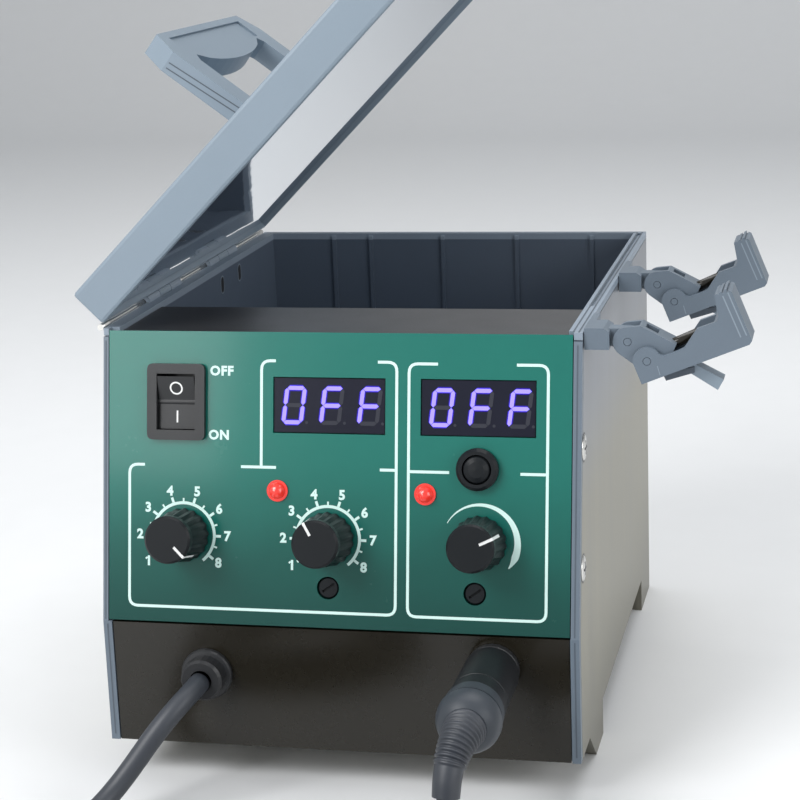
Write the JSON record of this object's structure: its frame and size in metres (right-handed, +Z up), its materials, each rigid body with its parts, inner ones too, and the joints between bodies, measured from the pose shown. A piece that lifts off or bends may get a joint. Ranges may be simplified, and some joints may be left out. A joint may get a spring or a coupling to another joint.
{
  "type": "hot air rework station",
  "caption": "Bench soldering case with a sloping panel of knobs and displays, a tool tray under a hinged lid with a folding handle, and two folding tool rests",
  "frame": {"origin": "under the middle of the station, on the bench, with its cords and their tools left out", "axes": "+X to the side with the tool rests, -Y to the control panel, +Z up"},
  "size_m": [0.2279, 0.466, 0.2786],
  "materials": {
    "slate_plastic": "fine moulded texture, satin",
    "tray_plastic": "moulded, dark satin",
    "mirror_liner": "polished, dark, strong reflections",
    "green_lacquer": "smooth green lacquer, glossy",
    "black_gloss": "deep black, glossy",
    "case_metal": "brushed along its height, warm grey",
    "shelf_black": "satin black",
    "black_plastic": "satin black",
    "display_window": "dark window over lit digits",
    "red_lens": "translucent red lens",
    "bright_steel": "plated, bright",
    "board_green": "solder mask",
    "core_steel": "stacked laminations",
    "sink_metal": "extruded",
    "cord_rubber": "soft black",
    "blue_grip": "soft grip"
  },
  "bodies": {
    "case": {"front_frame": "slate_plastic", "rest_bracket_front": "slate_plastic", "rest_bracket_rear": "slate_plastic", "tool_tray": "tray_plastic", "control_panel": "green_lacquer", "lower_panel": "black_gloss", "side_panel_left": "case_metal", "side_panel_right": "case_metal", "rear_panel": "case_metal", "base_plate": "case_metal", "shelf_plate": "shelf_black", "switch_body": "black_plastic", "set_button_body": "black_plastic", "cord_gland": "black_plastic", "mains_inlet": "black_plastic", "fuse_holder": "black_plastic", "iron_plug": "black_plastic", "air_handpiece": "black_plastic", "display_heat": "display_window", "display_board": "display_window", "led_heat": "red_lens", "led_board": "red_lens", "hinge_pin_front": "bright_steel", "hinge_pin_rear": "bright_steel", "link_pin_front": "bright_steel", "link_pin_rear": "bright_steel", "potentiometer_air": "bright_steel", "potentiometer_heat": "bright_steel", "potentiometer_board": "bright_steel", "iron_socket": "bright_steel", "air_nozzle": "bright_steel", "iron_tip": "bright_steel", "control_board": "board_green", "power_board": "board_green", "transformer": "core_steel", "heat_sink": "sink_metal", "air_cord": "cord_rubber", "air_cord_coil": "cord_rubber", "air_cord_end": "cord_rubber", "iron_cord": "cord_rubber", "iron_cord_coil": "cord_rubber", "iron_cord_end": "cord_rubber", "iron_handle": "blue_grip"},
    "lid": {"lid_shell": "slate_plastic", "lid_liner": "mirror_liner"},
    "handle": {"lid_handle": "slate_plastic"},
    "rocker": {"switch_rocker": "black_plastic"},
    "knob_air_body": {"knob_air": "black_plastic"},
    "knob_heat_body": {"knob_heat": "black_plastic"},
    "knob_board_body": {"knob_board": "black_plastic"},
    "set_button": {"set_button_cap": "black_plastic"},
    "trimmer_heat": {"cal_trimmer_heat": "black_plastic"},
    "trimmer_board": {"cal_trimmer_board": "black_plastic"},
    "link_front": {"rest_link_front": "slate_plastic", "cradle_pin_front": "bright_steel"},
    "link_rear": {"rest_link_rear": "slate_plastic", "cradle_pin_rear": "bright_steel"},
    "cradle_front": {"rest_cradle_front": "slate_plastic"},
    "cradle_rear": {"rest_cradle_rear": "slate_plastic"}
  },
  "joints": [
    {"name": "lid_hinge", "type": "hinge", "parent": "case", "child": "lid", "pos_m": [-0.10453, 0.01175, 0.15315], "axis": [0, -1, 0], "range_deg": [-45, 55]},
    {"name": "handle_fold", "type": "hinge", "parent": "lid", "child": "handle", "pos_m": [-0.06468, 0.01175, 0.21951], "axis": [0, 1, 0], "range_deg": [0, 98]},
    {"name": "power_rocker", "type": "hinge", "parent": "case", "child": "rocker", "pos_m": [-0.07683, -0.09066, 0.12906], "axis": [1, 0, 0], "range_deg": [-16, 0]},
    {"name": "knob_air_turn", "type": "hinge", "parent": "case", "child": "knob_air_body", "pos_m": [-0.07453, -0.10067, 0.08548], "axis": [0, -0.9794, 0.2019], "range_deg": [-5, 275]},
    {"name": "knob_heat_turn", "type": "hinge", "parent": "case", "child": "knob_heat_body", "pos_m": [-0.02453, -0.10065, 0.08558], "axis": [0, -0.9794, 0.2019], "range_deg": [-170, 110]},
    {"name": "knob_board_turn", "type": "hinge", "parent": "case", "child": "knob_board_body", "pos_m": [0.02647, -0.10061, 0.08577], "axis": [0, -0.9794, 0.2019], "range_deg": [-75, 205]},
    {"name": "set_press", "type": "slide", "parent": "case", "child": "set_button", "axis": [0, 0.9794, -0.2019], "range_m": [0, 0.002], "stiffness_N_per_m": 400, "springref_m": -0.001},
    {"name": "trimmer_heat_turn", "type": "hinge", "parent": "case", "child": "trimmer_heat", "pos_m": [-0.02443, -0.10394, 0.06961], "axis": [0, -0.9794, 0.2019], "range_deg": [-135, 135]},
    {"name": "trimmer_board_turn", "type": "hinge", "parent": "case", "child": "trimmer_board", "pos_m": [0.02497, -0.10398, 0.06942], "axis": [0, -0.9794, 0.2019], "range_deg": [-135, 135]},
    {"name": "front_link_fold", "type": "hinge", "parent": "case", "child": "link_front", "pos_m": [0.07337, -0.07874, 0.1496], "axis": [0, 1, 0], "range_deg": [-20, 40]},
    {"name": "front_cradle_tilt", "type": "hinge", "parent": "link_front", "child": "cradle_front", "pos_m": [0.07977, -0.07874, 0.1438], "axis": [0, 1, 0], "range_deg": [-20, 30]},
    {"name": "rear_link_fold", "type": "hinge", "parent": "case", "child": "link_rear", "pos_m": [0.07337, 0.01826, 0.1496], "axis": [0, 1, 0], "range_deg": [-20, 40]},
    {"name": "rear_cradle_tilt", "type": "hinge", "parent": "link_rear", "child": "cradle_rear", "pos_m": [0.07977, 0.01826, 0.1438], "axis": [0, 1, 0], "range_deg": [-20, 30]}
  ]
}
